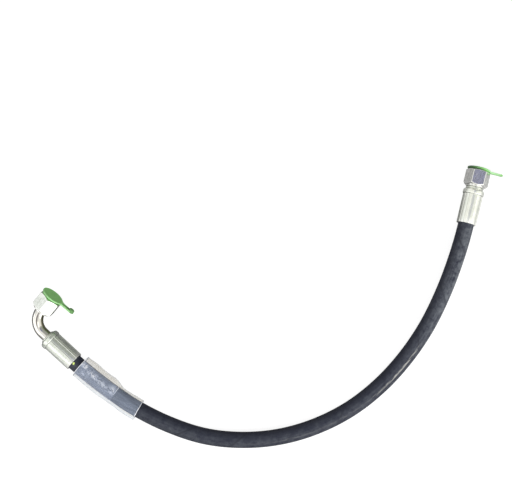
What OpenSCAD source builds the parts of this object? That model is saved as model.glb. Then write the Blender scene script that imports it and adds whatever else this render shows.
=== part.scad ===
// Hydraulic hose assembly: two-wire rubber hose, a straight flat-seat swivel end, a 90 degree
// swept elbow end, dust plugs in both nuts and a clear identification sleeve.
// Origin: centre of the straight end's seat face. +Y runs out of the straight nut, +Z is up,
// and the assembly lies on the plane z = -flange_d / 2.

/* [Hose] */
// Outside diameter of the hose cover
hose_od = 22; // [21:0.5:24]
// Bore of the hose
hose_bore = 12.7; // [12:0.1:13.5]
// Thickness of the rubber cover
cover_t = 1.2; // [0.8:0.1:1.5]
// Thickness of each wire braid
braid_t = 0.6; // [0.4:0.1:0.8]
// Thickness of the rubber layer between the two braids
insulation_t = 0.35; // [0.2:0.05:0.6]

/* [Ferrule] */
// Diameter over the crimped flats
crimp_d = 26; // [25.5:0.5:28]
// Number of crimp flats
crimp_flats = 8; // [6:1:10]
// Length of the crimped stretch
crimp_len = 41.5; // [38:0.5:48]
// Diameter of the uncrimped ring
ring_d = 29.5; // [28.5:0.5:33]
// Length of the uncrimped ring
ring_len = 5.5; // [4:0.5:9]
// Length of the chamfered front of the ferrule
shoulder_len = 2; // [1:0.5:4]
// Thickness of the lip that locks behind the insert's collar
lip_t = 4; // [3:0.5:6]
// Number of grip grooves inside the ferrule
grip_grooves = 5; // [3:1:7]

/* [Insert] */
// Bore through the inserts
insert_bore = 9.5; // [8:0.5:10]
// Diameter of the shank under the ferrule's lip
shank_d = 18; // [17:0.5:20]
// Diameter of the straight end's collar
collar_d = 24; // [22:0.5:25]
// Length of the straight end's collar
collar_len = 3.2; // [2:0.2:8]
// Diameter of the neck that the nut turns on
neck_d = 19.4; // [18.8:0.2:20]
// Diameter of the flat-seat head
head_d = 22.6; // [21.8:0.2:23]
// Thickness of the flat-seat head
head_t = 4; // [3:0.5:5]
// Number of barbs on each insert
barbs = 6; // [3:1:8]

/* [Swivel nut] */
// Width across the nut's flats
nut_af = 30; // [29.5:0.5:34]
// Length of the hexagon
hex_len = 22; // [20:0.5:26]
// Diameter of the turned boss behind the hexagon
boss_d = 25.5; // [24:0.5:28]
// Length of the turned boss
boss_len = 2; // [1:0.5:4]
// From the back of the nut to the seat face
nut_back = 9.5; // [9:0.5:12]
// Thread's major diameter, 1-14 UN
thread_d = 25.4; // [25:0.1:26]
// Thread's minor diameter, which is the bore
thread_bore = 23.44; // [23.3:0.02:23.8]
// Length of the plain lead-in at the mouth
lead_in = 4.7; // [4:0.1:6]
// Wire of the thrust ring that holds the nut on
thrust_wire_d = 1.6; // [1.2:0.1:2]

/* [Elbow] */
// Outside diameter of the elbow tube
tube_od = 15.5; // [14:0.5:16]
// Bore of the elbow tube
tube_bore = 11.5; // [9.5:0.5:12]
// Bend radius at the tube's centre
bend_r = 22.5; // [20:0.5:23]
// Straight run between the ferrule and the bend
elbow_run = 9.5; // [6:0.5:30]
// From the ferrule's axis to the elbow's seat face
elbow_drop = 32.5; // [32.5:0.5:60]
// Rise of the elbow's nut above the horizontal, in degrees
elbow_roll = 17; // [0:1:60]

/* [Dust plugs] */
// Diameter of the plug's flange
flange_d = 32; // [30:0.5:38]
// Thickness of the flange and the pull tab
flange_t = 2.2; // [1.6:0.1:3]
// Height of the step under the flange
step_t = 0.8; // [0.6:0.1:3]
// Wall of the plug's hollow stem
stem_t = 1.6; // [1.2:0.1:2.5]
// Width of the pull tab
tab_w = 7; // [5:0.5:10]
// From the plug's axis to the centre of the bead on the tab
tab_reach = 31; // [28:0.5:40]
// Diameter of the bead on the tab
bead_d = 8; // [7:0.5:10]
// Height of the bead above the tab
bead_h = 2.8; // [2:0.2:5]

/* [Clear sleeve] */
// Length of the clear sleeve
sleeve_len = 100; // [70:1:110]
// Thickness of the clear film
film_t = 0.5; // [0.3:0.1:0.8]
// Width over the wide stretch that holds the label
sleeve_wide = 34; // [32:0.5:38]
// Width over the narrow stretch
sleeve_narrow = 30.5; // [29:0.5:31.5]
// Length of the wide stretch
wide_len = 62; // [40:1:66]
// From the elbow's ferrule to the sleeve
sleeve_gap = 10; // [10:1:20]
// Thickness of the bare label
label_t = 0.25; // [0.1:0.05:0.3]
// Width of the bare label
label_w = 22; // [14:1:24]

/* [Hidden] */

// Roundness of every turned surface
$fn = 96;
// Overrun of a cut past the face that it opens
over = 1;

// Clearances
// Radial gap between bonded layers and between pieces pressed on each other
bond = 0.05;
// Radial gap of a part that turns or slides on another
running = 0.05;
// Radial gap between a dust plug's stem and the nut
plug_fit = 0.08;
// Gap between flat faces that move past each other
face_gap = 0.3;
// How far the thread reaches behind the seat face
thread_back = 0.1;
// How far the undercut behind the thread stays inside the thread's major diameter, at the radius
relief_step = 0.3;

// Sections of the hose, from the outside in
hose_sides = 12;
cover_r = hose_od / 2;
outer_braid_r = cover_r - cover_t - bond;
insulation_r = outer_braid_r - braid_t - bond;
inner_braid_r = insulation_r - insulation_t - bond;
liner_r = inner_braid_r - braid_t - bond;
liner_bore_r = hose_bore / 2 / cos(180 / hose_sides);

// Lengths along a fitting, from the ferrule's mouth outwards
ferrule_len = crimp_len + ring_len + shoulder_len;
lip_z = ferrule_len - lip_t;
hose_depth = lip_z - face_gap;
collar_end = ferrule_len + bond + collar_len;
straight_seat = collar_end + face_gap + nut_back;
// How far the elbow's seat face stands in front of the tube's end
seat_lip = 1;

// The nut, from its seat face outwards
nut_mouth = boss_len + hex_len - nut_back;
thread_end = nut_mouth - lead_in;
journal_end = head_t + face_gap;
lead_in_r = thread_d / 2 + running;
relief_r = thread_d / 2 - relief_step;
wire_z = -(nut_back + journal_end) / 2;

// The hose lies on the floor, and so do the straight end's plug and the elbow's ferrule
floor_z = -flange_d / 2;
elbow_mouth = [-475, -318, floor_z + ring_d / 2];
// Direction of the elbow's ferrule, in degrees from +Y towards -X
elbow_heading = 62.4;

// Route of the hose's centre between the two ferrules, from the straight ferrule's mouth
route = [
    [0, 0, 0],
    [-2, -48, -0.6],
    [-8, -99, -2.4],
    [-19, -150, -4.2],
    [-37, -199, -5],
    [-62, -245, -5],
    [-94, -286, -5],
    [-133, -320, -5],
    [-177, -346, -5],
    [-225, -363, -5],
    [-276, -371, -5],
    [-328, -368, -4.5],
    [-380, -357, -3.5],
    [-429, -339, -2.2],
    elbow_mouth
];
// Length of the route between two of its points
route_step = 52;

// The route runs on inside both ferrules, straight along their axes
elbow_out = [-sin(elbow_heading), cos(elbow_heading), 0];
route_in = [0, hose_depth, 0];
route_out = elbow_mouth + hose_depth * elbow_out;
hose_line = concat([route_in], route, [route_out]);

function unit(v) = v / norm(v);
// The point of the route at a distance from the elbow ferrule's mouth
function route_point(distance) =
    let (s = len(route) - 1 - distance / route_step, i = floor(s))
    route[i] + (s - i) * (route[i + 1] - route[i]);

// The ring of corners of radius r around point i of a line
function ring(line, i, r) =
    let (
        along = unit(line[min(i + 1, len(line) - 1)] - line[max(i - 1, 0)]),
        side = unit(cross(along, [0, 0, 1])),
        rise = cross(side, along)
    )
    [for (k = [0:hose_sides - 1])
        line[i] + r * (cos(360 * k / hose_sides) * side + sin(360 * k / hose_sides) * rise)];

// A hollow tube swept along a line, open at both ends
module swept_tube(line, r_out, r_in) {
    n = len(line);
    s = hose_sides;
    skin = n * s;
    outer = [for (i = [0:n - 1]) each ring(line, i, r_out)];
    inner = [for (i = [0:n - 1]) each ring(line, i, r_in)];
    walls = [
        for (i = [0:n - 2], k = [0:s - 1])
            let (a = i * s + k, b = i * s + (k + 1) % s)
            each [
                [a, b, b + s], [a, b + s, a + s],
                [skin + a, skin + b + s, skin + b], [skin + a, skin + a + s, skin + b + s]
            ]
    ];
    last = (n - 1) * s;
    ends = [
        for (k = [0:s - 1])
            let (a = k, b = (k + 1) % s)
            each [
                [a, skin + a, skin + b], [a, skin + b, b],
                [last + a, skin + last + b, skin + last + a], [last + a, last + b, skin + last + b]
            ]
    ];
    polyhedron(points = concat(outer, inner), faces = concat(walls, ends));
}

// One layer of the hose
module hose_layer(r_out, r_in) {
    translate([0, -straight_seat, 0]) swept_tube(hose_line, r_out, r_in);
}

// Frames: z runs out of the fitting, x to the right and y down
module at_straight_ferrule() {
    translate([0, -straight_seat, 0]) rotate([-90, 0, 0]) children();
}
module at_straight_seat() {
    rotate([-90, 0, 0]) children();
}
module at_elbow_ferrule() {
    translate([0, -straight_seat, 0] + elbow_mouth)
        rotate([0, 0, elbow_heading]) rotate([-90, 0, 0]) rotate([0, 0, -elbow_roll])
            children();
}
module at_elbow_seat() {
    at_elbow_ferrule()
        translate([elbow_drop, 0, ferrule_len + elbow_run + bend_r]) rotate([0, 90, 0])
            children();
}

// Turned outline in the r-z plane
module profile(points) {
    rotate_extrude() polygon(points);
}

// Crimped ferrule: flats with rounded ridges between them, then the ring that the dies left
module ferrule() {
    ring_r = ring_d / 2;
    bore_r = cover_r + bond;
    // Height of the ridges above the flats
    ridge_h = 0.5;
    edge = 0.8;
    groove_pitch = lip_z / (grip_grooves + 1);
    groove_w = 2;
    groove_depth = 0.6;
    difference() {
        union() {
            intersection() {
                cylinder(r = crimp_d / 2 + ridge_h, h = crimp_len);
                rotate([0, 0, 180 / crimp_flats]) linear_extrude(height = crimp_len)
                    circle(r = crimp_d / 2 / cos(180 / crimp_flats), $fn = crimp_flats);
            }
            profile([
                [0, crimp_len], [ring_r - edge, crimp_len], [ring_r, crimp_len + edge],
                [ring_r, crimp_len + ring_len - edge], [ring_r - edge, crimp_len + ring_len],
                [ring_r - shoulder_len, ferrule_len], [0, ferrule_len]
            ]);
        }
        translate([0, 0, -over]) cylinder(r = bore_r, h = lip_z + over);
        translate([0, 0, -over]) cylinder(r = shank_d / 2 + bond, h = ferrule_len + 2 * over);
        for (i = [1:grip_grooves])
            translate([0, 0, i * groove_pitch - groove_w / 2])
                cylinder(r = bore_r + groove_depth, h = groove_w);
    }
}

// Barbed stem with the shank that the ferrule's lip locks on
module stem_with_shank() {
    stem_r = hose_bore / 2 - bond;
    stem_start = 4;
    nose = 1.5;
    barb_cut = 0.5;
    barb_pitch = (hose_depth - stem_start - nose) / (barbs + 1);
    profile(concat(
        [[0, stem_start], [stem_r - nose / 2, stem_start], [stem_r, stem_start + nose]],
        [for (i = [1:barbs])
            let (z = stem_start + nose + i * barb_pitch)
            each [[stem_r, z - barb_pitch / 3], [stem_r - barb_cut, z - barb_pitch / 3],
                  [stem_r, z]]],
        [[stem_r, hose_depth + bond], [shank_d / 2, hose_depth + bond],
         [shank_d / 2, ferrule_len + bond], [0, ferrule_len + bond]]
    ));
}

module insert_bore_cut(length) {
    translate([0, 0, -over]) cylinder(r = insert_bore / 2, h = length + 2 * over);
}

// Groove for the thrust wire, half in the neck and half in the nut
module wire_ring(wire_r) {
    translate([0, 0, wire_z]) rotate_extrude() translate([neck_d / 2, 0]) circle(r = wire_r);
}

// Neck and flat-seat head, from the seat face backwards
module seat_head(back) {
    chamfer = 0.6;
    difference() {
        union() {
            translate([0, 0, -back]) cylinder(r = neck_d / 2, h = back);
            profile([
                [0, -head_t], [head_d / 2, -head_t], [head_d / 2, -chamfer],
                [head_d / 2 - chamfer, 0], [0, 0]
            ]);
        }
        wire_ring(thrust_wire_d / 2 + bond);
    }
}

module swivel_nut() {
    corner_r = nut_af / 2 / cos(30);
    back_z = -nut_back;
    hex_z = back_z + boss_len;
    // How far the chamfers reach along the corners, at the back and at the mouth
    back_chamfer = 2.4;
    mouth_chamfer = 1.8;
    // The turned end faces stop short of the flats
    rim_step = 0.6;
    rim_r = nut_af / 2 - rim_step;
    cut_r = corner_r + over;
    cut_share = (cut_r - rim_r) / (corner_r - rim_r);
    mouth_bevel = 0.7;
    difference() {
        union() {
            intersection() {
                translate([0, 0, hex_z]) cylinder(r = corner_r, h = hex_len, $fn = 6);
                profile([
                    [0, hex_z], [rim_r, hex_z], [cut_r, hex_z + back_chamfer * cut_share],
                    [cut_r, nut_mouth - mouth_chamfer * cut_share], [rim_r, nut_mouth],
                    [0, nut_mouth]
                ]);
            }
            translate([0, 0, back_z]) cylinder(r = boss_d / 2, h = boss_len + over);
        }
        translate([0, 0, back_z - over]) cylinder(r = neck_d / 2 + running, h = nut_back + over);
        translate([0, 0, -journal_end]) cylinder(r = relief_r, h = journal_end - thread_back);
        translate([0, 0, -journal_end]) cylinder(r = thread_bore / 2, h = journal_end + thread_end);
        translate([0, 0, thread_end]) cylinder(r = lead_in_r, h = lead_in + over);
        translate([0, 0, nut_mouth - mouth_bevel])
            cylinder(r1 = lead_in_r, r2 = lead_in_r + mouth_bevel, h = mouth_bevel);
        wire_ring(thrust_wire_d / 2 + running);
    }
}

// Push-in plug with a pull tab along +x
module dust_plug() {
    edge = 0.6;
    stem_r = lead_in_r - plug_fit;
    stem_z = thread_end + edge;
    // How far the step reaches over the nut's mouth
    step_w = 0.8;
    step_z = nut_mouth + face_gap;
    step_r = lead_in_r + step_w;
    flange_z = step_z + step_t;
    top_z = flange_z + flange_t;
    flange_r = flange_d / 2;
    // The tab widens to the flange in a flare
    flare = 4;
    root_x = flange_r * cos(45);
    root_w = flange_r * sin(45) + edge;
    bead_top = top_z + bead_h;
    crown = 1.3;
    slot_w = 3.2;
    slot_depth = 1.2;
    slot_len = tab_reach - bead_d / 2 - edge - flange_r;
    difference() {
        union() {
            profile([
                [0, stem_z], [stem_r - edge, stem_z], [stem_r, stem_z + edge],
                [stem_r, step_z], [step_r, step_z], [step_r, flange_z],
                [flange_r - edge, flange_z], [flange_r, flange_z + edge],
                [flange_r, top_z - edge], [flange_r - edge, top_z], [0, top_z]
            ]);
            translate([0, 0, flange_z]) linear_extrude(height = flange_t) {
                polygon([
                    [root_x, -root_w], [flange_r + edge, -tab_w / 2 - edge],
                    [flange_r + flare, -tab_w / 2], [tab_reach, -tab_w / 2],
                    [tab_reach, tab_w / 2], [flange_r + flare, tab_w / 2],
                    [flange_r + edge, tab_w / 2 + edge], [root_x, root_w]
                ]);
            }
            translate([tab_reach, 0, 0]) profile([
                [0, flange_z], [bead_d / 2, flange_z], [bead_d / 2, bead_top - crown],
                [bead_d / 2 - crown, bead_top], [0, bead_top]
            ]);
        }
        translate([0, 0, stem_z - over]) cylinder(r = stem_r - stem_t, h = step_z - stem_z + over);
        translate([flange_r, -slot_w / 2, top_z - slot_depth])
            cube([slot_len, slot_w, slot_depth + over]);
    }
}

// Elbow tube: straight run, quarter bend, straight end in the seat sleeve
module bent_tube(r, overrun = 0) {
    bend_z = ferrule_len + elbow_run;
    start_z = lip_z + bond - overrun;
    end_len = elbow_drop - bend_r - seat_lip + overrun;
    translate([0, 0, start_z]) cylinder(r = r, h = bend_z - start_z);
    translate([bend_r, 0, bend_z]) rotate([90, 0, 0]) rotate([0, 0, 90])
        rotate_extrude(angle = 90) translate([bend_r, 0]) circle(r = r);
    translate([bend_r, 0, bend_z + bend_r]) rotate([0, 90, 0]) cylinder(r = r, h = end_len);
}

// Flattened film section: two equal arcs that meet in a point on either side
module film_section(width, height) {
    a = width / 2;
    h = height / 2;
    arc_r = (a * a + h * h) / (2 * h);
    intersection() {
        translate([0, arc_r - h]) circle(r = arc_r);
        translate([0, h - arc_r]) circle(r = arc_r);
    }
}

// The sleeve lies along the chord of the hose under it, moved halfway out to the hose's bow
sleeve_near = route_point(sleeve_gap);
sleeve_far = route_point(sleeve_gap + sleeve_len);
sleeve_run = sleeve_near - sleeve_far;
sleeve_turn = atan2(-sleeve_run.x, sleeve_run.y);
sleeve_pitch = asin(sleeve_run.z / norm(sleeve_run));
sleeve_bow = (route_point(sleeve_gap + sleeve_len / 2) - (sleeve_near + sleeve_far) / 2) / 2;
sleeve_room = hose_od + 2 * (face_gap + label_t + 2 * bond);
// Width of the two side seams, in thicknesses of the film
seam = 4;

// Frame of the sleeve: z runs towards the elbow's ferrule, x to the right and y down
module at_sleeve() {
    translate([0, -straight_seat, 0] + sleeve_near + sleeve_bow) rotate([0, 0, sleeve_turn])
        rotate([sleeve_pitch - 90, 0, 0]) translate([0, 0, -sleeve_len]) children();
}

module film_tube(width, z0, z1) {
    translate([0, 0, z0]) linear_extrude(height = z1 - z0) difference() {
        film_section(width, sleeve_room + 2 * film_t);
        film_section(width - seam * film_t, sleeve_room);
    }
}

// Sub-parts
module hose_cover() {
    color("#24262a") hose_layer(cover_r, outer_braid_r + bond);
}
module outer_wire_braid() {
    color("#b9a66a") hose_layer(outer_braid_r, insulation_r + bond);
}
module braid_insulation() {
    color("#3a3a3c") hose_layer(insulation_r, inner_braid_r + bond);
}
module inner_wire_braid() {
    color("#b9a66a") hose_layer(inner_braid_r, liner_r + bond);
}
module hose_inner_tube() {
    color("#1d1d1f") hose_layer(liner_r, liner_bore_r);
}

module straight_insert() {
    color("#c9cbc8") at_straight_ferrule() difference() {
        chamfer = 0.6;
        union() {
            stem_with_shank();
            profile([
                [0, ferrule_len + bond], [collar_d / 2 - chamfer, ferrule_len + bond],
                [collar_d / 2, ferrule_len + bond + chamfer], [collar_d / 2, collar_end - chamfer],
                [collar_d / 2 - chamfer, collar_end], [0, collar_end]
            ]);
            translate([0, 0, straight_seat]) seat_head(nut_back + face_gap);
        }
        insert_bore_cut(straight_seat);
    }
}
module straight_ferrule() {
    color("#c9cbc8") at_straight_ferrule() ferrule();
}
module straight_swivel_nut() {
    color("#aeb1bb") at_straight_seat() swivel_nut();
}
module straight_thrust_wire() {
    color("#8d9096") at_straight_seat() wire_ring(thrust_wire_d / 2);
}
module straight_dust_plug() {
    tab_turn = 15;
    color("#6fae63") at_straight_seat() rotate([0, 0, tab_turn]) dust_plug();
}

module elbow_insert() {
    socket_r = tube_od / 2 + bond;
    socket_wall = 3;
    collar_r = socket_r + socket_wall;
    collar_h = 2;
    chamfer = 1;
    color("#c9cbc8") at_elbow_ferrule() difference() {
        union() {
            stem_with_shank();
            profile([
                [0, ferrule_len + bond], [collar_r, ferrule_len + bond],
                [collar_r, ferrule_len + collar_h - chamfer],
                [collar_r - chamfer, ferrule_len + collar_h], [0, ferrule_len + collar_h]
            ]);
        }
        insert_bore_cut(ferrule_len);
        translate([0, 0, lip_z]) cylinder(r = socket_r, h = lip_t + collar_h + over);
    }
}
module elbow_tube() {
    color("#d6d3c8") at_elbow_ferrule() difference() {
        bent_tube(tube_od / 2);
        bent_tube(tube_bore / 2, over);
    }
}
module elbow_seat_sleeve() {
    // The neck shows a little behind the nut
    neck_shown = 0.8;
    back = nut_back + neck_shown;
    socket_end = bond - seat_lip;
    color("#c9cbc8") at_elbow_seat() difference() {
        seat_head(back);
        translate([0, 0, -back - over])
            cylinder(r = tube_od / 2 + bond, h = back + over + socket_end);
        translate([0, 0, -back]) cylinder(r = tube_bore / 2, h = back + over);
    }
}
module elbow_ferrule() {
    // The crimping dies stood at another angle to the elbow
    die_turn = -12;
    color("#c9cbc8") at_elbow_ferrule() rotate([0, 0, die_turn]) ferrule();
}
module elbow_swivel_nut() {
    nut_turn = 35;
    color("#e4e6e2") at_elbow_seat() rotate([0, 0, nut_turn]) swivel_nut();
}
module elbow_thrust_wire() {
    color("#8d9096") at_elbow_seat() wire_ring(thrust_wire_d / 2);
}
module elbow_dust_plug() {
    tab_turn = 4;
    color("#6fae63") at_elbow_seat() rotate([0, 0, tab_turn]) dust_plug();
}

module clear_sleeve() {
    step_z = sleeve_len - wide_len;
    color("#9aa0ab", 0.5) at_sleeve() {
        film_tube(sleeve_narrow, 0, step_z);
        film_tube(sleeve_wide, step_z, sleeve_len);
        translate([0, 0, step_z]) linear_extrude(height = film_t) difference() {
            film_section(sleeve_wide, sleeve_room + 2 * film_t);
            film_section(sleeve_narrow - seam * film_t, sleeve_room);
        }
    }
}
module id_label() {
    label_edge = 1;
    label_room = sleeve_room - 2 * bond;
    color("#8f95a8") at_sleeve() translate([0, 0, sleeve_len - wide_len + label_edge])
        linear_extrude(height = wide_len - 2 * label_edge) intersection() {
            difference() {
                film_section(sleeve_wide - seam * film_t, label_room);
                film_section(sleeve_wide - seam * film_t, label_room - 2 * label_t);
            }
            translate([-label_w / 2, -hose_od]) square([label_w, hose_od]);
        }
}
module paint_mark() {
    mark_d = 3.6;
    mark_t = 0.35;
    mark_z = -2;
    facet = 180 / hose_sides;
    color("#d8ef8a") at_elbow_ferrule() rotate([0, 0, elbow_roll - 90 - facet])
        translate([cover_r * cos(facet) + bond, 0, mark_z]) rotate([0, 90, 0])
            cylinder(d = mark_d, h = mark_t);
}

hose_cover();
outer_wire_braid();
braid_insulation();
inner_wire_braid();
hose_inner_tube();
straight_insert();
straight_ferrule();
straight_swivel_nut();
straight_thrust_wire();
straight_dust_plug();
elbow_insert();
elbow_tube();
elbow_seat_sleeve();
elbow_ferrule();
elbow_swivel_nut();
elbow_thrust_wire();
elbow_dust_plug();
clear_sleeve();
id_label();
paint_mark();
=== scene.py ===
"""Looks of a hydraulic hose assembly: a two-wire rubber hose, a straight and a 90 degree swivel end
in crimped ferrules, green dust plugs in both nuts, and a clear sleeve with a bare label film.

Lengths in the shape functions are millimetres. Each fitting has its own frame: z runs out of the
fitting, x to the right and y down. shell() turns a grid of such points into faces, and piece()
puts shells into one mesh in metres.
"""

import math

import bpy
import numpy as np
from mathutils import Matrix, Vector


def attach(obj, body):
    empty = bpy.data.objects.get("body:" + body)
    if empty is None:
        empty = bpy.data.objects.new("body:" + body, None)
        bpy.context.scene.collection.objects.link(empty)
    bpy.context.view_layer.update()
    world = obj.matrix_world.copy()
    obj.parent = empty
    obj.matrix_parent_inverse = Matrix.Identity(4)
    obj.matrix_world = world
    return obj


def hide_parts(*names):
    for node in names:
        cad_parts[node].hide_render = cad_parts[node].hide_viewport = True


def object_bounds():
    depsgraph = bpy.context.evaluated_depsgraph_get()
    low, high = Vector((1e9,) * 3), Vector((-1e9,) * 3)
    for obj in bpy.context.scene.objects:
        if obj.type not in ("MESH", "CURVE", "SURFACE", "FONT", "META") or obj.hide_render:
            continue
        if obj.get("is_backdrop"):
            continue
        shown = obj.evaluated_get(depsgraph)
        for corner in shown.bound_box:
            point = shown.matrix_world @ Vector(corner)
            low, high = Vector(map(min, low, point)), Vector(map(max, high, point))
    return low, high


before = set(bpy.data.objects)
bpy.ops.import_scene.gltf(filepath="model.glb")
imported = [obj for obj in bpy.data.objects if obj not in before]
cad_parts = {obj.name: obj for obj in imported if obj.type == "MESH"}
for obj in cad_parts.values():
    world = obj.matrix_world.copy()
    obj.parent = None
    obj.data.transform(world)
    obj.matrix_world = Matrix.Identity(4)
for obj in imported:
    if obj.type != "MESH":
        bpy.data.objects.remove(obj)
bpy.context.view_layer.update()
MM = 0.001

# ---------------------------------------------------------------- camera

camera = bpy.data.objects.new("camera", bpy.data.cameras.new("camera"))
bpy.context.scene.collection.objects.link(camera)
bpy.context.scene.camera = camera
camera.data.sensor_width = 36
camera.data.lens = 78.47
camera.data.clip_start, camera.data.clip_end = 0.05, 50
camera.location = (-0.23529, -0.31500, 1.53447)
aim = Vector((-0.27583, -0.15727, -0.01500))
camera.rotation_mode = "QUATERNION"
camera.rotation_quaternion = (aim - camera.location).to_track_quat("-Z", "Y")

# ---------------------------------------------------------------- sizes and frames

FLOOR_Z = -16.0
# Hose: the radii of its layers, the gap between bonded ones, and how deep it and its cover go into
# a ferrule
COVER_R, OUTER_BRAID_R, LAYER_R, INNER_BRAID_R, LINER_R, BORE_R = 11.0, 9.75, 9.1, 8.7, 8.05, 6.35
BOND = 0.05
HOSE_DEPTH, COVER_DEPTH = 44.7, 28.0
# Ferrule: its length, the radius of its ring, and where the lip inside its end starts
FERRULE_LEN, RING_R, LIP_Z = 49.0, 14.6, 45.0
# How far round a ferrule and a nut are, for the patterns on them
FERRULE_GIRTH, NUT_GIRTH = 27 * math.pi, 32 * math.pi
# Fittings: from the straight ferrule's mouth to the nut's seat, the elbow ferrule's mouth, its
# direction from the y axis, and how far the elbow is turned up about it
STRAIGHT_SEAT = 62.05
ELBOW_MOUTH = np.array([-475.0, -318.0, -1.25])
ELBOW_HEADING, ELBOW_ROLL = 62.4, 17.0
# Elbow tube: its radii, its bend's radius, where the bend starts, and how far out the seat lies
TUBE_R, TUBE_BORE_R, BEND_R, BEND_Z, END_X = 7.75, 5.75, 22.5, FERRULE_LEN + 9.5, 32.5
THREAD_R, THREAD_PITCH, THREAD_DEPTH = 11.72, 1.814, 0.98
# Plugs: the back of the flange over the seat, and the bead's middle from the axis
FLANGE_Z, BEAD_X = 15.6, 32.3
# Sleeve and label: the sleeve's length and its gap to the ferrule, and how thick both films are
SLEEVE_LEN, SLEEVE_GAP = 100.0, 10.0
SLEEVE_WALL, LABEL_WALL = 0.3, 0.12


def turn(axis, degrees):
    """Rotation matrix about x, y or z: the plane of the other two axes turns by the angle."""
    c, s = math.cos(math.radians(degrees)), math.sin(math.radians(degrees))
    i, j = {"x": (1, 2), "y": (2, 0), "z": (0, 1)}[axis]
    made = np.eye(3)
    made[i, i] = made[j, j] = c
    made[i, j], made[j, i] = -s, s
    return made


def put(points, where):
    """Points of a fitting's frame in the part's frame: turned by its matrix, then moved to its origin."""
    matrix, origin = where
    return points @ matrix.T + origin


def further(where, offset, matrix):
    """A frame that lies in another: moved by offset in it, and turned by matrix in it."""
    return where[0] @ matrix, put(np.asarray(offset, float), where)


ORIGIN = np.array([0.0, -STRAIGHT_SEAT, 0.0])
STRAIGHT_FERRULE = (turn("x", -90), ORIGIN)
STRAIGHT_END = (turn("x", -90), np.zeros(3))
LEVEL_ELBOW = (turn("z", ELBOW_HEADING) @ turn("x", -90), ORIGIN + ELBOW_MOUTH)
ELBOW_FERRULE = further(LEVEL_ELBOW, (0, 0, 0), turn("z", -ELBOW_ROLL))
ELBOW_END = further(ELBOW_FERRULE, (END_X, 0, BEND_Z + BEND_R), turn("y", 90))

# ---------------------------------------------------------------- surfaces


def smooth(x):
    """0 below 0, 1 above 1, and 3x^2 - 2x^3 between."""
    x = np.clip(x, 0, 1)
    return x * x * (3 - 2 * x)


def shell(grid, around=True, loop=False, worn=0.0, along=None, across=None):
    """Faces of a grid of points: one quad between neighbouring rows and columns.

    around joins the last column to the first. loop joins the last row to the first, and otherwise flat
    caps close both ends. worn is a number per point, for wear, creases and seams and for painted
    highlights and shade. along and across are the places of the rows and columns on the surface, in mm,
    one more than there are rows and columns.
    """
    rows, cols = grid.shape[:2]
    points = grid.reshape(-1, 3)
    r, c = np.meshgrid(
        np.arange(rows if loop else rows - 1), np.arange(cols if around else cols - 1), indexing="ij"
    )
    corners = [(r, c), (r, c + 1), (r + 1, c + 1), (r + 1, c)]
    quads = np.stack([(i % rows) * cols + j % cols for i, j in corners], -1).reshape(-1, 4)
    along = np.arange(rows + 1.0) if along is None else along
    across = np.arange(cols + 1.0) if across is None else across
    uv = np.stack([np.stack([along[i], across[j]], -1) for i, j in corners], 2).reshape(-1, 4, 2)
    a, b, c, d = (points[quads[:, k]] for k in range(4))
    volume = (a * (np.cross(b, c) + np.cross(c, d))).sum()
    caps = []
    if not loop:
        caps = [np.arange(cols)[::-1], np.arange(cols) + (rows - 1) * cols]
        for cap in caps:
            p = points[cap]
            volume += (p[0] * np.cross(p[1:-1], p[2:])).sum()
    if volume < 0:
        quads, uv, caps = quads[:, ::-1], uv[:, ::-1], [cap[::-1] for cap in caps]
    worn = np.broadcast_to(worn, (rows, cols)).reshape(-1)
    return points, [quads, *(cap[None] for cap in caps)], uv.reshape(-1, 2), worn


def piece(name, shells, finish, replaced, body, sharp=35):
    """One object from shells in the part's frame: smooth-shaded, with edges sharp past an angle."""
    points, faces, uvs, worn, start = [], [], [], [], 0
    for shell_points, polygons, uv, shell_marks_and_painted_light in shells:
        for corners in polygons:
            faces += (corners + start).tolist()
        cap_corners = sum(corners.size for corners in polygons) - len(uv)
        uvs += [uv, np.zeros((cap_corners, 2))]
        points.append(shell_points)
        worn.append(shell_marks_and_painted_light)
        start += len(shell_points)
    mesh = bpy.data.meshes.new(name)
    mesh.from_pydata(np.concatenate(points) * MM, [], faces)
    layer = mesh.uv_layers.new(name="wrap")
    layer.data.foreach_set("uv", (np.concatenate(uvs) * MM).astype(np.float32).ravel())
    marks_and_light_layer = mesh.attributes.new("worn", "FLOAT", "POINT")
    marks_and_light_layer.data.foreach_set("value", np.concatenate(worn).astype(np.float32))
    mesh.shade_smooth()
    mesh.set_sharp_from_angle(angle=math.radians(sharp))
    mesh.materials.append(finish)
    made = bpy.data.objects.new(name, mesh)
    bpy.context.scene.collection.objects.link(made)
    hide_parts(replaced)
    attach(made, body)
    return made


def soften(corners, radius, steps=4, closed=True):
    """Outline with rounded corners: from each corner, a quadratic curve between the two points that
    lie a radius away on its sides, or 45% of the shorter side where that is less."""
    before = np.roll(corners, 1, axis=-2) - corners
    after = np.roll(corners, -1, axis=-2) - corners
    long_before = np.linalg.norm(before, axis=-1, keepdims=True)
    long_after = np.linalg.norm(after, axis=-1, keepdims=True)
    radius = np.broadcast_to(np.asarray(radius, float).reshape(-1, 1), long_before.shape).copy()
    if not closed:
        radius[..., [0, -1], :] = 0
    cut = np.minimum(radius, 0.45 * np.minimum(long_before, long_after))
    start, end = corners + before / long_before * cut, corners + after / long_after * cut
    t = np.linspace(0, 1, steps)[:, None]
    curve = (
        (1 - t) ** 2 * start[..., None, :] + 2 * t * (1 - t) * corners[..., None, :]
        + t**2 * end[..., None, :]
    )
    return curve.reshape(*corners.shape[:-2], -1, 2)


def outlines(corners, angles):
    """Corners of radius and height, each a number or one per angle, as one outline per angle."""
    return np.stack([np.stack(np.broadcast_arrays(r, z, angles)[:2], -1) for r, z in corners], 1)


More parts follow.
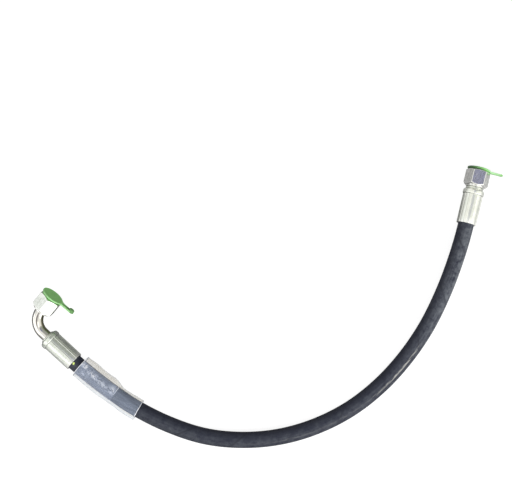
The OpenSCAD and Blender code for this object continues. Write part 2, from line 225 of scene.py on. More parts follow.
def revolve(outline, angles):
    """Outline of radius and height, the same at all angles or one per angle, carried round z."""
    outline = np.broadcast_to(outline, (len(angles), *outline.shape[-2:])).transpose(1, 0, 2)
    r, z = outline[..., 0], outline[..., 1]
    return np.stack([r * np.cos(angles), r * np.sin(angles), z], -1)


def outline_places(grid):
    """How far along its closed outline each row of a turned grid lies, in mm, from its first column."""
    closed = np.concatenate([grid[:, 0], grid[:1, 0]])
    return np.r_[0, np.cumsum(np.linalg.norm(np.diff(closed, axis=0), axis=1))]


def rings(line, radius, up, sides):
    """Circles of a radius square to a line at each of its points, counted from the side round the top."""
    way = np.gradient(line, axis=0)
    way /= np.linalg.norm(way, axis=1)[:, None]
    side = np.cross(way, up)
    side /= np.linalg.norm(side, axis=1)[:, None]
    rise = np.cross(side, way)
    angle = np.linspace(0, 2 * math.pi, sides, endpoint=False)[None, :, None]
    return line[:, None] + radius * (np.cos(angle) * side[:, None] + np.sin(angle) * rise[:, None])


def pipe(line, r_out, r_in, up, sides):
    """Closed wall of a tube along a line: outer rings out, inner rings back."""
    grid = np.concatenate([rings(line, r_out, up, sides), rings(line, r_in, up, sides)[::-1]])
    place = np.r_[0, np.cumsum(np.linalg.norm(np.diff(line, axis=0), axis=1))]
    return shell(
        grid, loop=True, along=np.r_[place, place[::-1], 0],
        across=np.linspace(0, 2 * math.pi * r_out, sides + 1),
    )


# ---------------------------------------------------------------- finishes


def colour(text):
    """Linear colour of an sRGB hex value."""
    part = np.array([int(text[i:i + 2], 16) / 255 for i in (1, 3, 5)])
    linear = np.where(part <= 0.04045, part / 12.92, ((part + 0.055) / 1.055) ** 2.4)
    return (*linear, 1.0)


def add(tree, kind, sockets=None, **settings):
    """Adds a shader node: settings are its properties, sockets its inputs' values or the outputs
    that feed them, each by name or number."""
    made = tree.nodes.new("ShaderNode" + kind)
    for name, value in settings.items():
        setattr(made, name, value)
    for name, value in (sockets or {}).items():
        if isinstance(value, bpy.types.NodeSocket):
            tree.links.new(value, made.inputs[name])
        else:
            made.inputs[name].default_value = value
    return made


def finish(name, base, roughness, metallic=0.0, **sockets):
    """A new material: its node tree and its shader with the plain values set."""
    made = bpy.data.materials.new(name)
    made.use_nodes = True
    shader = made.node_tree.nodes["Principled BSDF"]
    shader.inputs["Base Color"].default_value = colour(base)
    shader.inputs["Roughness"].default_value = roughness
    shader.inputs["Metallic"].default_value = metallic
    for socket, value in sockets.items():
        shader.inputs[socket.replace("_", " ")].default_value = value
    return made, made.node_tree, shader


def product(tree, *ramps):
    """Product of ramps. Each is a value, where it starts, where it is full, and what it gives at
    those two places, which is 0 and 1 where it isn't said."""
    made = None
    for value, start, full, *ends in ramps:
        low, high = ends or (0.0, 1.0)
        share = add(
            tree, "MapRange",
            {"Value": value, "From Min": start, "From Max": full, "To Min": low, "To Max": high},
        ).outputs["Result"]
        if made is not None:
            share = add(tree, "Math", {0: made, 1: share}, operation="MULTIPLY").outputs[0]
        made = share
    return made


def streaks(tree, wrap, scale, detail, slant=0.0, **sockets):
    """Noise drawn out along a surface. scale is how often it changes per metre, along the surface
    and across it, and slant turns it, in radians."""
    laid = add(tree, "Mapping", {"Vector": wrap, "Rotation": (0, 0, slant), "Scale": (*scale, 1)})
    return add(
        tree, "TexNoise", {"Vector": laid.outputs["Vector"], "Scale": 1.0, "Detail": detail, **sockets}
    ).outputs["Fac"]


def dress(tree, shader, relief, rough, *coats):
    """Gives a shader its relief, its roughness and coats over its plain colour.

    relief is a height, how strongly it shows and its depth in metres. rough is a ramp, or None where
    the roughness is plain. A coat is a colour and the ramps whose product is how much of it shows.
    """
    height, strength, depth = relief
    bump = add(tree, "Bump", {"Height": height, "Strength": strength, "Distance": depth})
    tree.links.new(bump.outputs["Normal"], shader.inputs["Normal"])
    if rough:
        tree.links.new(product(tree, rough), shader.inputs["Roughness"])
    tone = tuple(shader.inputs["Base Color"].default_value)
    for over, *ramps in coats:
        tone = add(
            tree, "Mix", {"Factor": product(tree, *ramps), 6: tone, 7: colour(over)}, data_type="RGBA"
        ).outputs[2]
    tree.links.new(tone, shader.inputs["Base Color"])


def nitrile_cover():
    """Black wrapped nitrile cover: matte and blue-black under dust, with painted light on the outer side
    of its curve, the fine weave of the wrapping tape pressed into it, slanted marks where its lengths
    end, and one long painted highlight streak along its top."""
    made, tree, shader = finish("black_nitrile_rubber", "#212432", 0.5, Specular_IOR_Level=0.25)
    wrap = add(tree, "UVMap", uv_map="wrap").outputs["UV"]
    where = add(tree, "TexCoord").outputs["Object"]
    place = add(tree, "SeparateXYZ", {"Vector": wrap})
    along, across = place.outputs["X"], place.outputs["Y"]
    # Streaks about 60 mm long and 3 mm wide, and blotches about 8 mm across
    streak = streaks(tree, wrap, (16, 330), 3.0)
    blotch = add(
        tree, "TexNoise", {"Vector": where, "Scale": 130.0, "Detail": 6.0, "Roughness": 0.65}
    ).outputs["Fac"]
    mottle = add(tree, "Mix", {"Factor": 0.7, 2: streak, 3: blotch}).outputs[0]
    # 1 on the inner side of the hose's curve and -1 on the outer side
    lean = add(tree, "Math", {0: across, 1: COVER_R * MM}, operation="DIVIDE").outputs[0]
    lean = add(tree, "Math", {0: lean}, operation="COSINE").outputs[0]
    # How far off the nearest tape mark is, as a share of the 73 mm between two. Each leans by 26 mm
    off = add(tree, "Math", {0: lean, 1: 0.013, 2: -0.059}, operation="MULTIPLY_ADD").outputs[0]
    for kind, value in (
        ("ADD", along), ("DIVIDE", 0.073), ("ADD", 0.5), ("FRACT", 0.0), ("SUBTRACT", 0.5),
        ("ABSOLUTE", 0.0),
    ):
        off = add(tree, "Math", {0: off, 1: value}, operation=kind).outputs[0]
    # How far off the middle of the painted highlight streak is, which runs along the outer side of the
    # top
    off_highlight = add(tree, "Math", {0: across, 1: 0.0225}, operation="SUBTRACT").outputs[0]
    off_highlight = add(tree, "Math", {0: off_highlight}, operation="ABSOLUTE").outputs[0]
    # Noise that breaks the painted highlight streak into strips
    highlight_breaks = streaks(tree, wrap, (110, 500), 4.0)
    # Tape weave, drawn at 1.6 mm so that it shows at all
    weave = add(
        tree, "TexWave", {"Vector": wrap, "Scale": 100.0, "Distortion": 0.4, "Detail": 1.0},
        bands_direction="DIAGONAL",
    ).outputs["Fac"]
    grain = add(tree, "TexNoise", {"Vector": where, "Scale": 1500.0, "Detail": 2.0}).outputs["Fac"]
    height = add(tree, "Mix", {"Factor": 0.6, 2: weave, 3: grain}).outputs[0]
    # Dust lies thicker next to the straight end, and the same dusty tone is also laid thicker on the
    # outer side as painted light from the lamps outside the curve. Then come the tape marks, and the
    # painted highlight streak, 2 mm wide, strong over 60 mm and then faint
    dress(
        tree, shader, (height, 0.25, 0.0002), (blotch, 0.3, 0.7, 0.42, 0.58),
        ("#72767c", (mottle, 0.36, 0.66), (along, 0.12, 0.25, 1.0, 0.37), (lean, 0.8, -0.3, 0.2, 1.0)),
        ("#1e2029", (off, 0.045, 0.008, 0.0, 0.6), (blotch, 0.38, 0.55)),
        ("#a3a29e", (off_highlight, 0.0019, 0.0006), (along, 0.203, 0.218), (along, 0.27, 0.31, 1.0, 0.14),
         (along, 0.44, 0.52, 1.0, 0.0), (highlight_breaks, 0.41, 0.60)),
    )
    return made


def plated_steel(name, base, shade, roughness, grain, scratches):
    """Zinc-plated steel: pale grey metal with faint streaks along it and clouds in tone and gloss,
    brighter along rubbed edges, where painted highlights are laid too, and darker in corners, where
    painted shade is laid.

    base and shade are its light and dark tones, grain the size of the clouds in mm, and scratches
    how strongly fine scratches show.
    """
    made, tree, shader = finish(name, base, roughness, metallic=1.0)
    where = add(tree, "TexCoord").outputs["Object"]
    wrap = add(tree, "UVMap", uv_map="wrap").outputs["UV"]
    cloud = add(
        tree, "TexNoise", {"Vector": where, "Scale": 1000.0 / grain, "Detail": 6.0, "Roughness": 0.6}
    ).outputs["Fac"]
    # Streaks 1 mm wide and 10 mm long
    streak = streaks(tree, wrap, (100, 1000), 3.0)
    mottle = add(tree, "Mix", {"Factor": 0.45, 2: cloud, 3: streak}).outputs[0]
    # Scratches 0.3 mm wide and up to 6 mm long, two sets at a slant to each other
    bright = add(tree, "Attribute", attribute_name="worn").outputs["Fac"]
    worn = bright
    for slant in (0.5, -0.8):
        line = streaks(tree, wrap, (132, 1100), 2.0, slant)
        line = product(tree, (line, 0.58, 0.68, 0.0, scratches))
        bright = add(tree, "Math", {0: bright, 1: line}, operation="MAXIMUM").outputs[0]
    # Clouds, then rubbed edges and scratches, with the edges also painted bright as highlights, then
    # painted shade in the corners, where the per-point value is below 0
    dress(
        tree, shader, (mottle, 0.05, 0.00015), (mottle, 0.3, 0.7, roughness * 0.8, roughness * 1.25),
        (shade, (mottle, 0.38, 0.64)), ("#fafaf7", (bright, 0, 1)), ("#5d5f58", (worn, 0, -1)),
    )
    return made


def drawn_tube():
    """Bright drawn steel tube: mirror-like, warm grey, with faint lines drawn along it."""
    made, tree, shader = finish("bright_drawn_steel", "#dedcd9", 0.08, metallic=1.0)
    wrap = add(tree, "UVMap", uv_map="wrap").outputs["UV"]
    where = add(tree, "TexCoord").outputs["Object"]
    # Draw lines 0.4 mm apart and many centimetres long
    line = streaks(tree, wrap, (12, 2500), 2.0)
    haze = add(tree, "TexNoise", {"Vector": where, "Scale": 120.0, "Detail": 4.0}).outputs["Fac"]
    # How far off the inner side of the bend is, which is half way round the tube
    across = add(tree, "SeparateXYZ", {"Vector": wrap}).outputs["Y"]
    inner = add(tree, "Math", {0: across, 1: math.pi * TUBE_R * MM}, operation="SUBTRACT").outputs[0]
    inner = add(tree, "Math", {0: inner}, operation="ABSOLUTE").outputs[0]
    # Haze, then an olive tint along the inner side of the bend, a painted reflection of dark surroundings
    dress(
        tree, shader, (line, 0.06, 0.0001), (line, 0.3, 0.7, 0.05, 0.12),
        ("#cbc8c1", (haze, 0, 1)), ("#96937a", (inner, 0.0060, 0.0036)),
    )
    return made


def plug_plastic():
    """Moulded low-density polyethylene: waxy green, half gloss, painted paler where light shines through
    thin parts or falls on its lit side, and painted darker where it lies in shade."""
    made, tree, shader = finish("green_moulded_ldpe", "#87cb70", 0.5, IOR=1.51)
    where = add(tree, "TexCoord").outputs["Object"]
    cloud = add(tree, "TexNoise", {"Vector": where, "Scale": 180.0, "Detail": 4.0}).outputs["Fac"]
    # Fine spark-eroded grain of the mould, drawn at 0.6 mm
    grain = add(tree, "TexNoise", {"Vector": where, "Scale": 1700.0, "Detail": 2.0}).outputs["Fac"]
    # Painted shade where the per-point value is below 0, in the groove, on the bead and on the side away
    # from the light, and painted light where it is above 0, at thin edges and on the lit side
    painted_light_and_shade = add(tree, "Attribute", attribute_name="worn").outputs["Fac"]
    dress(
        tree, shader, (grain, 0.12, 0.0001), (cloud, 0, 1, 0.42, 0.6),
        ("#99da86", (cloud, 0, 1)), ("#4d6d48", (painted_light_and_shade, 0, -1)), ("#bcf2b0", (painted_light_and_shade, 0, 1)),
    )
    return made


def film(name, base, seam, clear, crease_size):
    """Soft clear plastic film: see-through, faintly milky, with creases and edges painted white as
    highlights.

    base is its tone and seam its tone where the two layers meet beside the hose. clear is how much
    of what lies behind it the plain film hides. crease_size is in mm.
    """
    made, tree, shader = finish(name, base, 0.25, IOR=1.5)
    wrap = add(tree, "UVMap", uv_map="wrap").outputs["UV"]
    fold = streaks(tree, wrap, (600 / crease_size, 1000 / crease_size), 4.0, Distortion=0.8)
    # A crease, painted white as a highlight, runs where the folds cross their middle height, and a
    # blister, painted white too, where they are highest
    off = add(tree, "Math", {0: fold, 1: 0.5}, operation="SUBTRACT").outputs[0]
    off = add(tree, "Math", {0: off}, operation="ABSOLUTE").outputs[0]
    line, blister_highlight = product(tree, (off, 0.014, 0.004)), product(tree, (fold, 0.555, 0.585))
    line = add(tree, "Math", {0: line, 1: blister_highlight}, operation="MAXIMUM").outputs[0]
    # Creases are painted white as highlights, as strongly as the per-point value says, and edges, where
    # it is over 0.9, are painted white all along
    worn = add(tree, "Attribute", attribute_name="worn").outputs["Fac"]
    painted_crease_highlight = add(tree, "Math", {0: line, 1: worn}, operation="MULTIPLY").outputs[0]
    edge = product(tree, (worn, 0.9, 1.0))
    white = add(tree, "Math", {0: painted_crease_highlight, 1: edge}, operation="MAXIMUM").outputs[0]
    # Milky streaks 2 mm wide and 40 mm long, fainter where the per-point value is below -1
    streak = streaks(tree, wrap, (25, 500), 3.0)
    milky = product(tree, (streak, 0.3, 0.7, clear * 0.6, clear * 1.4), (worn, -2, -1, 0.45, 1.0))
    hidden = add(tree, "Mix", {"Factor": white, 2: milky, 3: 1.0}).outputs[0]
    tree.links.new(hidden, shader.inputs["Alpha"])
    # Where the per-point value is below 0 the two layers meet beside the hose. Below -1 they look cool.
    # The white of the painted highlights goes over both
    dress(
        tree, shader, (fold, 0.3, 0.0004), None,
        (seam, (worn, 0, -1)), ("#a6cdea", (worn, -1, -2)), ("#fbfcff", (white, 0, 1)),
    )
    return made


def plain_finish(name, base, shade, roughness, metallic, grain, relief):
    """A cast, moulded or brushed finish with no more than a cloudy tone and a grain in mm."""
    made, tree, shader = finish(name, base, roughness, metallic=metallic)
    where = add(tree, "TexCoord").outputs["Object"]
    cloud = add(
        tree, "TexNoise", {"Vector": where, "Scale": 1000.0 / grain, "Detail": 4.0}
    ).outputs["Fac"]
    dress(
        tree, shader, (cloud, 0.3, relief), (cloud, 0, 1, roughness * 0.8, roughness * 1.2),
        (shade, (cloud, 0, 1)),
    )
    return made


def wire_braid():
    """Brass-coated steel wire laid in two crossing helices: wires 0.6 mm thick, drawn at 1.2 mm."""
    made, tree, shader = finish("brass_coated_wire_braid", "#5f4d25", 0.35, metallic=1.0)
    wrap = add(tree, "UVMap", uv_map="wrap").outputs["UV"]
    waves = []
    for slant in (0.96, -0.96):
        laid = add(tree, "Mapping", {"Vector": wrap, "Rotation": (0, 0, slant)}).outputs["Vector"]
        waves.append(
            add(tree, "TexWave", {"Vector": laid, "Scale": 133.0}, bands_direction="X").outputs["Fac"]
        )
    squares = add(tree, "TexChecker", {"Vector": wrap, "Scale": 200.0}).outputs["Fac"]
    height = add(tree, "Mix", {"Factor": squares, 2: waves[0], 3: waves[1]}).outputs[0]
    dress(tree, shader, (height, 0.6, 0.0003), None, ("#cdb678", (height, 0, 1)))
    return made


COVER = nitrile_cover()
BRAID = wire_braid()
# Calendered black rubber between the braids, dull
LAYER = plain_finish("calendered_black_rubber", "#2b2b2d", "#1c1c1e", 0.7, 0.0, 4.0, 0.0001)
# Extruded black nitrile liner, smooth with a slight shine
LINER = plain_finish("extruded_nitrile_liner", "#1b1c1e", "#26272a", 0.4, 0.0, 8.0, 0.00005)
# Straight ferrule: pressed and zinc-plated, pale, with a green cast
FERRULE = plated_steel("crimped_zinc_plated_steel", "#fafbf4", "#e6eadf", 0.30, 7.0, 0.2)
# Elbow ferrule: the same plating, duller, with grey smudges
DULL_FERRULE = plated_steel("dull_zinc_plated_steel", "#e9eee6", "#cbd1c7", 0.27, 9.0, 0.2)
# Straight nut: machined and passivated, with smudges and tool scratches
NUT = plated_steel("machined_zinc_steel", "#f0f0ed", "#bcbdb9", 0.20, 3.6, 1.0)
# Elbow nut: a lit copy of the same finish, with lighter smudges and faint scratches, painted to read
# white because it faces the light
LIT_NUT_COPY = plated_steel("lit_zinc_steel_copy", "#e9ebe6", "#cacdc6", 0.20, 5.0, 0.3)
# Inserts: turned and plated, a little darker than the ferrules
TURNED = plain_finish("turned_plated_steel", "#f0f2ea", "#dce0d5", 0.3, 1.0, 3.0, 0.00005)
# Spring steel wire of the thrust rings, bright with a brown cast
WIRE = plain_finish("drawn_spring_wire", "#9b9994", "#7d7a74", 0.3, 1.0, 1.5, 0.00003)
TUBE = drawn_tube()
PLASTIC = plug_plastic()
# Sleeve: clear PVC tubing, bluish where it lies on the hose and creamy beside it
SLEEVE = film("clear_pvc_tubing", "#c4d1e8", "#fbf1d6", 0.18, 4.2)
# Label: a bare film, a little milkier
LABEL = film("bare_label_film", "#c4ccdf", "#c4ccdf", 0.195, 3.8)
# Marker paint dabbed on by hand, thick and slightly glossy
PAINT = plain_finish("yellow_green_paint", "#e4f795", "#cfe66f", 0.35, 0.0, 1.2, 0.0001)

# ---------------------------------------------------------------- hose

ROUTE = ORIGIN + np.array([
    (0, 0, 0), (-2, -48, -0.6), (-8, -99, -2.4), (-19, -150, -4.2), (-37, -199, -5),
    (-62, -245, -5), (-94, -286, -5), (-133, -320, -5), (-177, -346, -5), (-225, -363, -5),
    (-276, -371, -5), (-328, -368, -4.5), (-380, -357, -3.5), (-429, -339, -2.2),
    tuple(ELBOW_MOUTH),
])
IN_STRAIGHT = np.array([0.0, 1.0, 0.0])
IN_ELBOW = LEVEL_ELBOW[0] @ np.array([0.0, 0.0, 1.0])


def hose_line(near, far, steps=13):
    """Centreline of the hose: a cubic through the route's points, whose slope at a point is half the
    way between its neighbours, then straight for near and far mm inside the two ferrules."""
    slope = np.zeros_like(ROUTE)
    slope[1:-1] = (ROUTE[2:] - ROUTE[:-2]) / 2
    slope[0], slope[-1] = -50 * IN_STRAIGHT, 51 * IN_ELBOW
    t = np.linspace(0, 1, steps, endpoint=False)[:, None]
    spans = (
        (2 * t**3 - 3 * t**2 + 1) * ROUTE[:-1, None] + (t**3 - 2 * t**2 + t) * slope[:-1, None]
        + (3 * t**2 - 2 * t**3) * ROUTE[1:, None] + (t**3 - t**2) * slope[1:, None]
    ).reshape(-1, 3)
    start = ROUTE[0] + IN_STRAIGHT * np.linspace(near, near / 7, 7)[:, None]
    end = ROUTE[-1] + IN_ELBOW * np.linspace(0, far, 8)[:, None]
    return np.concatenate([start, spans, end])


UP = np.array([0.0, 0.0, 1.0])
inside = hose_line(HOSE_DEPTH, HOSE_DEPTH)
cover_line = hose_line(COVER_DEPTH, COVER_DEPTH)
cover = piece(
    "hose_rubber_cover", [pipe(cover_line, COVER_R, OUTER_BRAID_R + BOND, UP, 64)],
    COVER, "hose_cover", "root",
)
layers = [
    piece(name, [pipe(inside, r_out, r_in, UP, 40)], look, node, "root")
    for name, r_out, r_in, look, node, slot in (
        ("braid_outer", OUTER_BRAID_R, LAYER_R + BOND, BRAID, "outer_wire_braid", "braid_wire"),
        ("braid_rubber_layer", LAYER_R, INNER_BRAID_R + BOND, LAYER, "braid_insulation",
         "layer_rubber"),
        ("braid_inner", INNER_BRAID_R, LINER_R + BOND, BRAID, "inner_wire_braid", "braid_wire"),
        ("hose_liner", LINER_R, BORE_R, LINER, "hose_inner_tube", "liner_rubber"),
    )
]

# ---------------------------------------------------------------- ferrules


def ferrule(first_ridge):
    """Crimped ferrule, an outline carried round z whose radius changes with the angle.

    Eight round lands lie between ridges. A ridge is 14 degrees wide, 0.5 mm high and slightly hollow
    along its middle, so that it has two bright edges. The outline then steps out to the round ring.
    """
    half = np.array([0, 2, 4, 5.5, 6.3, 7.0, 7.7, 8.5, 9.3, 10.4, 13, 17, 22.5])
    sector = np.r_[-half[-2:0:-1], half]
    degrees = (np.arange(8)[:, None] * 45 + sector).ravel()
    off = np.abs(np.tile(sector, 8))
    ridge = 1 - smooth((off - 6.8) / 2.2)
    high = 0.5 * ridge - 0.25 * np.exp(-((off / 3.4) ** 2))
    hose_hole, lip = COVER_R + BOND, 9.0 + BOND
    corners = [
        (hose_hole, 0), (13.1 + high, 0), (13.2 + high, 12.0), (13.3 + high, 40.4),
        (13.4 + 0.7 * high, 41.6), (RING_R, 42.6), (RING_R, 46.6), (14.2, 47.8), (12.9, FERRULE_LEN),
        (lip, FERRULE_LEN), (lip, LIP_Z), (hose_hole, LIP_Z),
    ]
    radii = [0.3, 0.5, 2, 0.6, 0.25, 0.4, 0.5, 0.5, 0.4, 0.3, 0.3, 0.3]
    steps = 5
    rounded = soften(outlines(corners, off), radii, steps)
    # The ridges' edges are rubbed and painted bright as highlight lines, and their feet painted dark as
    # shade; the mouth's edge is rubbed and painted bright; the foot of the ring is painted dark as shade;
    # and both edges of the ring are rubbed and painted bright as highlight lines
    worn = np.zeros((rounded.shape[1], len(degrees)))
    edge, foot = np.exp(-(((off - 6.9) / 0.9) ** 2)), np.exp(-(((off - 9.6) / 0.9) ** 2))
    worn[1 * steps:4 * steps] = 0.9 * edge - 0.25 * foot
    worn[1 * steps:2 * steps] = np.maximum(worn[1 * steps:2 * steps], 0.7)
    worn[4 * steps:5 * steps] = -0.6
    worn[5 * steps:5 * steps + 2] = 0.5
    worn[8 * steps:9 * steps] = 0.9
    return revolve(rounded, np.radians(degrees + first_ridge)), worn


for name, where, first_ridge, look, node in (
    ("ferrule_straight", STRAIGHT_FERRULE, -110.0, FERRULE, "straight_ferrule"),
    ("ferrule_elbow", LEVEL_ELBOW, -97.0, DULL_FERRULE, "elbow_ferrule"),
):
    grid, worn = ferrule(first_ridge)
    made = shell(
        put(grid, where), loop=True, worn=worn, along=outline_places(grid),
        across=np.linspace(0, FERRULE_GIRTH, grid.shape[1] + 1),
    )
    piece(name, [made], look, node, "root")

# ---------------------------------------------------------------- nuts


def nut():
    """Hexagon swivel nut, an outline carried round z whose radius changes with the angle.

    The hexagon's radius is half the width across flats over the cosine of the angle from the flat's
    middle, with corners rounded to 1.1 mm. The chamfers are cones, so their curved edges lie where
    cone and hexagon meet. The bore's thread is a triangle wave along z that climbs with the angle.
    """
    half_flats, rim, corner, round_r = 15.0, 14.4, 17.32, 1.1
    hole, skirt, groove, counterbore = 9.75, 12.75, 12.4, 12.75
    skirt_end, heel, thread_end, mouth = -9.5, -7.5, 9.8, 14.5
    half = np.array([0, 0.6, 1.2, 1.89, 2.8, 4, 7, 11, 16, 22, 30])
    sector = np.r_[-half[-2:0:-1], half]
    degrees = (np.arange(6)[:, None] * 60 + sector).ravel()
    off = np.radians(np.abs(np.tile(sector, 6)))
    centre = (half_flats - round_r) / math.cos(math.pi / 6)
    flat = half_flats / np.cos(math.pi / 6 - off)
    bend = centre * np.cos(off) + np.sqrt(np.maximum(round_r**2 - (centre * np.sin(off)) ** 2, 0))
    hexagon = np.where(off < math.radians(1.9), bend, flat)
    share = (hexagon - rim) / (corner - rim)
    back, top = heel + 2.4 * share, mouth - 1.8 * share
    corners = [
        (hole, skirt_end), (skirt, skirt_end), (skirt, heel), (rim, heel), (hexagon, back),
        (hexagon, back + 1.3), (hexagon, top - 1.3), (hexagon, top), (rim, mouth), (13.45, mouth),
        (counterbore, 13.8), (counterbore, thread_end), (THREAD_R, thread_end), (THREAD_R, -0.1),
        (groove, -0.1), (groove, -4.3), (hole, -4.3),
    ]
    radii = [0.2, 0.4, 0.3, 0.3, 0.45, 0.1, 0.1, 0.45, 0.3, 0.2, 0.3, 0.2, 0.2, 0.1, 0.2, 0.2, 0.2]
    steps = 4
    rounded = soften(outlines(corners, off), radii, steps)
    # Rubbed, and painted bright as highlight lines: the hexagon's corners and the curves where both
    # chamfers end, and the skirt's rim
    worn = np.zeros((rounded.shape[1], len(degrees)))
    ridge = np.exp(-((np.degrees(off) / 2.0) ** 2))
    worn[4 * steps:8 * steps] = 0.95 * ridge
    worn[4 * steps:5 * steps] = worn[7 * steps:8 * steps] = 0.95
    worn[1 * steps:2 * steps] = 0.5
    # The thread has flat crests and roots, and fades in at both ends
    z = np.linspace(9.5, 0.2, 62)[None, :]
    angle = np.radians(degrees)[:, None]
    wave = np.abs(((z / THREAD_PITCH - angle / (2 * math.pi)) % 1) * 2 - 1)
    depth = THREAD_DEPTH * np.clip((wave - 0.12) / 0.76, 0, 1)
    depth = depth * smooth((9.7 - z) / 0.9) * smooth(z / 0.9)
    thread = np.stack([THREAD_R + depth, z + 0 * angle], -1)
    cut = 13 * steps
    rounded = np.concatenate([rounded[:, :cut], thread, rounded[:, cut:]], 1)
    worn = np.concatenate([worn[:cut], np.zeros((z.size, len(degrees))), worn[cut:]])
    return revolve(rounded, np.radians(degrees)), worn


nut_grid, nut_marks_and_painted_light = nut()
for name, where, turned, look, node, body in (
    ("swivel_nut_straight", STRAIGHT_END, 0.0, NUT, "straight_swivel_nut", "straight_nut"),
    ("swivel_nut_elbow", ELBOW_END, 35.0, LIT_NUT_COPY, "elbow_swivel_nut", "elbow_nut"),
):
    made = shell(
        put(nut_grid @ turn("z", turned).T, where), loop=True, worn=nut_marks_and_painted_light,
        along=outline_places(nut_grid), across=np.linspace(0, NUT_GIRTH, nut_grid.shape[1] + 1),
    )
    piece(name, [made], look, node, body, sharp=30)

# ---------------------------------------------------------------- elbow tube


def elbow_line():
    """Centre of the elbow tube: straight to the bend, a quarter circle, and straight on."""
    arc = np.linspace(0, math.pi / 2, 25)[:, None]
    start = np.array([0, 0, 1.0]) * np.linspace(LIP_Z + BOND, BEND_Z - 1, 5)[:, None]
    bend = [BEND_R - BEND_R * np.cos(arc), 0 * arc, BEND_Z + BEND_R * np.sin(arc)]
    end = np.array([1.0, 0, 0]) * np.linspace(BEND_R + 1.5, END_X - 1, 4)[:, None]
    end = end + np.array([0, 0, BEND_Z + BEND_R])
    return np.concatenate([start, np.concatenate(bend, 1), end])


tube = pipe(
    put(elbow_line(), ELBOW_FERRULE), TUBE_R, TUBE_BORE_R, ELBOW_FERRULE[0] @ [0, 1, 0], 64
)
piece("elbow_steel_tube", [tube], TUBE, "elbow_tube", "root")

# ---------------------------------------------------------------- dust plugs


def plug_disc(fade, pale):
    """Flange, step and hollow stem of a plug: one outline carried round z, with flat caps. fade is how
    much painted shade darkens the rim away from the tab, and pale how much painted light lightens it
    beside it."""
    corners = np.array([
        (0.4, 14.8), (11.07, 14.8), (11.07, 10.4), (12.07, 10.4), (12.67, 11.0), (12.67, 14.8),
        (13.55, 14.8), (13.55, FLANGE_Z), (16.0, FLANGE_Z), (16.0, 17.8), (14.9, 17.8),
        (14.4, 17.62), (0.4, 17.62),
    ])
    outline = soften(corners, [0, 0.3, 0.3, 0.3, 0.3, 0.2, 0.2, 0.2, 0.7, 0.7, 0.3, 0.3, 0], 5, False)
    r, z = outline[:, 0], outline[:, 1]
    # The flange's outer edge is painted pale, as light shining through it
    worn = np.where((r > 15.0) & (z > 15.5), 0.65 * smooth((r - 15.0) / 0.8), 0.0)
    angles = np.linspace(0, 2 * math.pi, 96, endpoint=False)
    away = (1 - np.cos(angles)) / 2
    # Painted light on the rim beside the tab and painted shade away from it
    shade = 0.6 * pale * (1 - away) - fade * away
    return revolve(outline, angles), worn[:, None] + shade * (r > 13)[:, None]


def plug_tab(droop, pale):
    """Pull tab along +x: sections square to x, whose half width falls from the flange in a flare, with a
    round-bottomed groove along the top. droop is how far it sinks per mm beyond the flange, and pale how
    much painted light lightens it over the flange."""
    x = np.r_[np.linspace(13, 20, 15), np.linspace(20.5, 25.5, 6), np.linspace(26, BEAD_X, 10)]
    wide = 4.4 + 4.4 * np.clip((20 - x) / 7, 0, 1) ** 2
    groove = 1.2 * smooth((x - 16.2) / 1.2) * smooth((28.0 - x) / 1.2)
    sink = droop * np.maximum(x - 15, 0)
    across = np.array([2.2, 1.75, 1.45, 1.1, 0.5, 0.0])
    low = np.array([0.0, 0.35, 0.85, 0.98, 1.0, 1.0])
    half_y = [wide - 0.5, wide, wide, wide - 0.15, wide - 0.5] + [a + 0 * x for a in across]
    half_z = [0 * x, 0 * x + 0.5, 0 * x + 1.65, 0 * x + 2.0, 0 * x + 2.15] + [
        2.15 - groove * share for share in low
    ]
    y = np.stack(half_y + [-v for v in half_y[-2::-1]], 1)
    z = FLANGE_Z + np.stack(half_z + half_z[-2::-1], 1) - sink[:, None]
    grid = np.stack([np.repeat(x[:, None], y.shape[1], 1), y, z], -1)
    # The tab's edges are painted pale, as light shining through them, and its groove painted dark as
    # shade
    edge = np.array([0.3, 0.4, 0.5, 0.5, 0.5] + [0.3, 0.0, 0.0, 0.0, 0.0, 0.0])
    deep = np.array([0.0] * 6 + [0.3, 0.9, 1.0, 1.0, 1.0])
    worn = smooth((x - 14.5) / 2.5)[:, None] * np.r_[edge, edge[-2::-1]]
    worn = worn - (groove / 1.2)[:, None] * np.r_[deep, deep[-2::-1]]
    return grid, worn + pale


def plug_bead(droop, pale, high):
    """Round bead at the tab's tip: a short domed pin with flat caps, high mm over the tab. It is thicker
    than the tab, and painted darker as shade."""
    top = 17.7 + high
    corners = np.array([
        (0.3, FLANGE_Z), (4.3, FLANGE_Z), (4.3, 17.5), (3.8, top - 0.4), (3.0, top), (0.3, top),
    ])
    outline = soften(corners, [0, 0.6, 0.3, 0.5, 0.5, 0], 6, False)
    angles = np.linspace(0, 2 * math.pi, 40, endpoint=False)
    grid = revolve(outline, angles) + np.array([BEAD_X, 0, -16 * droop])
    return grid, pale - 0.6


# The straight plug gets painted shade away from its tab and painted light beside it and on the tab; the
# elbow plug gets neither
for name, where, turned, droop, fade, pale, high, node, body in (
    ("dust_plug_straight", STRAIGHT_END, 15.0, -0.07, 1.7, 0.6, 0.5, "straight_dust_plug",
     "straight_plug"),
    ("dust_plug_elbow", ELBOW_END, 4.0, 0.0, 0.0, 0.0, 2.8, "elbow_dust_plug", "elbow_plug"),
):
    shells = [
        shell(put(grid @ turn("z", turned).T, where), worn=worn)
        for grid, worn in (
            plug_disc(fade, pale), plug_tab(droop, pale), plug_bead(droop, pale, high)
        )
    ]
    piece(name, shells, PLASTIC, node, body)

# ---------------------------------------------------------------- clear sleeve and label


